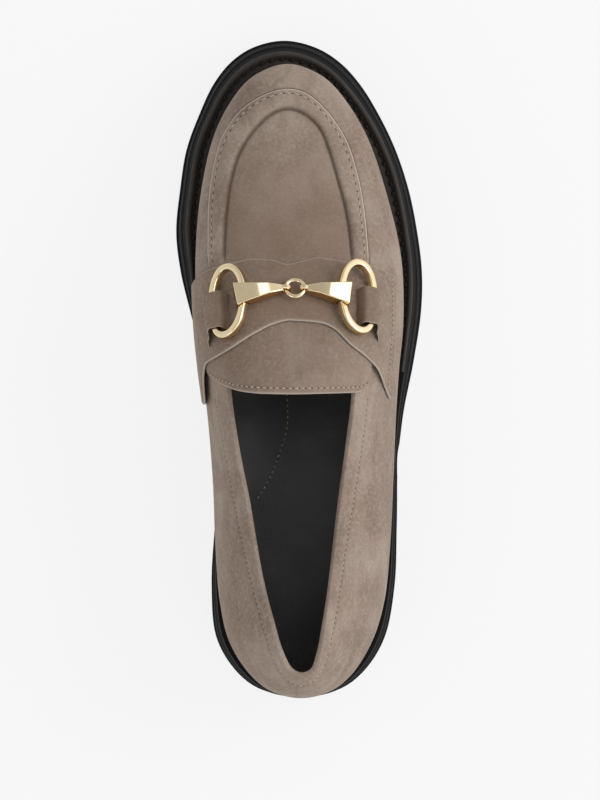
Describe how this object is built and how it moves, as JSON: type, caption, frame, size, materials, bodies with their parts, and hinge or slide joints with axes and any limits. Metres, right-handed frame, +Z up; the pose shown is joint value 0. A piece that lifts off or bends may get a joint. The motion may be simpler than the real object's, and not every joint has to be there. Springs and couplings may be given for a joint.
{
  "type": "bit loafer",
  "caption": "Suede slip-on loafer for the right foot, with a moccasin apron, a saddle strap that carries a gilt snaffle bit, and a thick lug sole with a low heel.",
  "frame": {"origin": "on the floor, under the middle of the shoe's box", "axes": "+Y from the heel to the toe, +X to the outer (lateral) side of the foot, +Z up"},
  "size_m": [0.1021, 0.271, 0.1006],
  "materials": {
    "rubber": "matt black moulded rubber",
    "welt": "dark brown-grey storm welt with a stitched groove",
    "insole_leather": "smooth black leather with a soft gloss",
    "suede": "grey-taupe suede with a short nap",
    "saddle_suede": "browner taupe suede with raw cut edges",
    "gilt": "polished pale gold plating"
  },
  "bodies": {
    "shoe": {"outsole": "rubber", "welt": "welt", "insole": "insole_leather", "upper": "suede", "tongue": "suede", "saddle": "saddle_suede", "keeper_inner": "saddle_suede", "keeper_outer": "saddle_suede", "bit_ring_inner": "gilt", "bit_ring_outer": "gilt", "bit_bar_inner": "gilt", "bit_bar_outer": "gilt"},
    "bit_ring": {"bit_centre_ring": "gilt"}
  },
  "joints": [
    {"name": "bit_ring_tilt", "type": "hinge", "parent": "shoe", "child": "bit_ring", "pos_m": [-0.00148, 0.03059, 0.08818], "axis": [0.9997, -0.0108, -0.0222], "range_deg": [-20, 20]}
  ]
}
